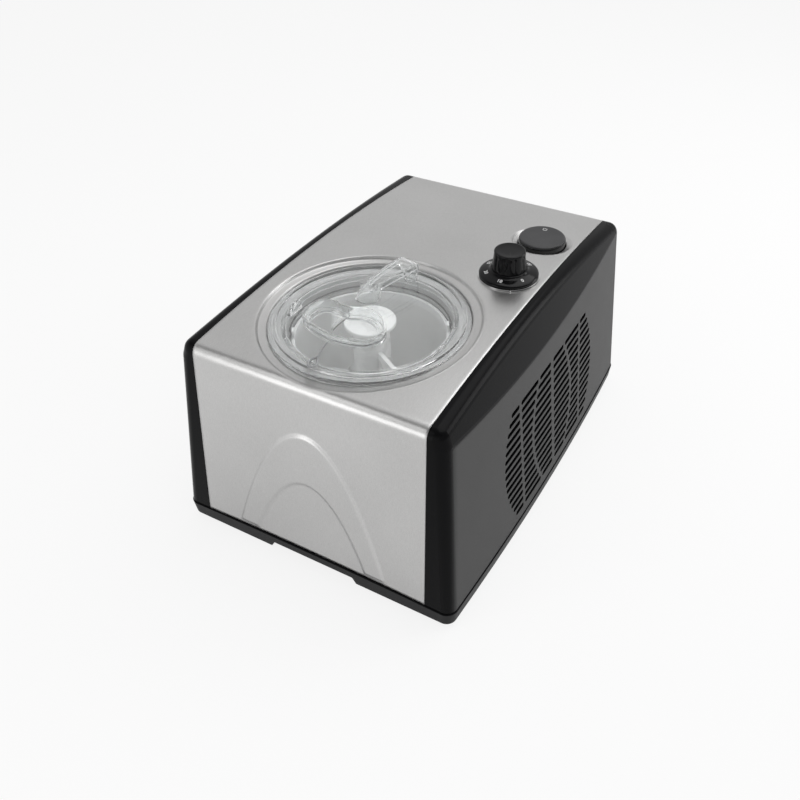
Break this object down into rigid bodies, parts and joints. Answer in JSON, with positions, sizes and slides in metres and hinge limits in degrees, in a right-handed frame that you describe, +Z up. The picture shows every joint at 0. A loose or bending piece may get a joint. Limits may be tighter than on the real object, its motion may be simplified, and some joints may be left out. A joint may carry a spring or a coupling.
{
  "type": "ice cream maker",
  "caption": "Worktop ice cream maker with its own freezer: leaning box with brushed front and top, clear lid, lift-out bowl and paddle, dial timer, power button and side grilles.",
  "frame": {"origin": "on the worktop, under the middle of the casing", "axes": "+Z up, front towards -Y, controls towards +X"},
  "size_m": [0.3166, 0.427, 0.248],
  "materials": {
    "cover_metal": "finely brushed, satin",
    "gloss_black": "polished",
    "button_satin": "satin top, polished edge",
    "shell_plastic": "gloss black, satin on the grilled wall",
    "tray_plastic": "fine satin",
    "rubber": "matt",
    "steel": "bright turned",
    "collar_plastic": "satin",
    "well_aluminium": "mill finish",
    "bowl_metal": "anodised, satin",
    "copper": "drawn tube",
    "bronze": "sintered",
    "foam": "moulded foam",
    "painted_steel": "black enamel",
    "board_green": "laminate",
    "bright_ring": "polished",
    "clear_plastic": "clear, polished",
    "paddle_white": "moulded",
    "gear_nylon": "moulded"
  },
  "bodies": {
    "root": {"base_tray": "tray_plastic", "rubber_feet": "rubber", "metal_cover": "cover_metal", "side_shell_right": "shell_plastic", "side_shell_left": "shell_plastic", "rear_panel": "shell_plastic", "cord_gland": "rubber", "case_screws": "steel", "leg_screws": "steel", "well_collar": "collar_plastic", "freezer_well": "well_aluminium", "well_gasket": "rubber", "evaporator_coil": "copper", "well_insulation": "foam", "shaft_seal": "rubber", "shaft_bushes": "bronze", "idler_pin": "steel", "gearbox_housing": "tray_plastic", "gearbox_cover": "tray_plastic", "motor_case": "painted_steel", "motor_stator": "copper", "motor_cradle": "tray_plastic", "compressor": "painted_steel", "compressor_grommets": "rubber", "condenser": "well_aluminium", "fan_shroud": "tray_plastic", "fan_motor": "tray_plastic", "filter_drier": "copper", "refrigerant_pipes": "copper", "timer_body": "tray_plastic", "dial_ring": "bright_ring", "dial_skirt": "gloss_black", "button_housing": "tray_plastic", "button_spring": "steel", "power_switch": "tray_plastic", "control_board": "board_green"},
    "bowl": {"bowl": "bowl_metal"},
    "bail": {"bail": "steel"},
    "paddle": {"paddle": "paddle_white"},
    "lid": {"lid": "clear_plastic"},
    "refill_cap": {"refill_cap": "clear_plastic"},
    "output_drive": {"drive_shaft": "steel", "output_gear": "gear_nylon"},
    "idler": {"idler_gear": "gear_nylon"},
    "rotor": {"motor_rotor": "steel", "motor_pinion": "bronze"},
    "fan": {"fan_rotor": "tray_plastic"},
    "timer": {"timer_knob": "gloss_black", "timer_shaft": "steel"},
    "button": {"power_button": "button_satin"}
  },
  "joints": [
    {"name": "bowl_lift", "type": "slide", "parent": "root", "child": "bowl", "axis": [0, 0, 1], "range_m": [0, 0.15]},
    {"name": "lid_lift", "type": "slide", "parent": "bowl", "child": "lid", "axis": [0, 0, 1], "range_m": [0, 0.25]},
    {"name": "cap_lift", "type": "slide", "parent": "lid", "child": "refill_cap", "axis": [0, 0, 1], "range_m": [0, 0.04]},
    {"name": "bail_swing", "type": "hinge", "parent": "bowl", "child": "bail", "pos_m": [0, -0.085, 0.204], "axis": [0.848, 0.5299, 0], "range_deg": [0, 180]},
    {"name": "paddle_spin", "type": "hinge", "parent": "bowl", "child": "paddle", "pos_m": [0, -0.085, 0.15], "axis": [0, 0, 1], "continuous": true},
    {"name": "drive_spin", "type": "hinge", "parent": "root", "child": "output_drive", "pos_m": [0, -0.085, 0.065], "axis": [0, 0, 1], "continuous": true},
    {"name": "idler_spin", "type": "hinge", "parent": "root", "child": "idler", "pos_m": [0, -0.04, 0.07], "axis": [0, 0, 1], "continuous": true},
    {"name": "rotor_spin", "type": "hinge", "parent": "root", "child": "rotor", "pos_m": [0, -0.00438, 0.04], "axis": [0, 0, 1], "continuous": true},
    {"name": "fan_spin", "type": "hinge", "parent": "root", "child": "fan", "pos_m": [0.094, 0.066, 0.088], "axis": [1, 0, 0], "continuous": true},
    {"name": "timer_turn", "type": "hinge", "parent": "root", "child": "timer", "pos_m": [0.0823, 0.0352, 0.23], "axis": [0, 0, 1], "range_deg": [-243, 32]},
    {"name": "button_press", "type": "slide", "parent": "root", "child": "button", "axis": [0, 0, -1], "range_m": [0, 0.003], "stiffness_N_per_m": 400, "springref_m": -0.002, "deforming": ["button_spring"]}
  ],
  "couplings": [
    {"joint": "bail_swing", "follows": "lid_lift", "rad_per_m": 12.566},
    {"joint": "paddle_spin", "follows": "drive_spin", "ratio": 1},
    {"joint": "idler_spin", "follows": "drive_spin", "ratio": -5},
    {"joint": "rotor_spin", "follows": "drive_spin", "ratio": 18.75}
  ]
}
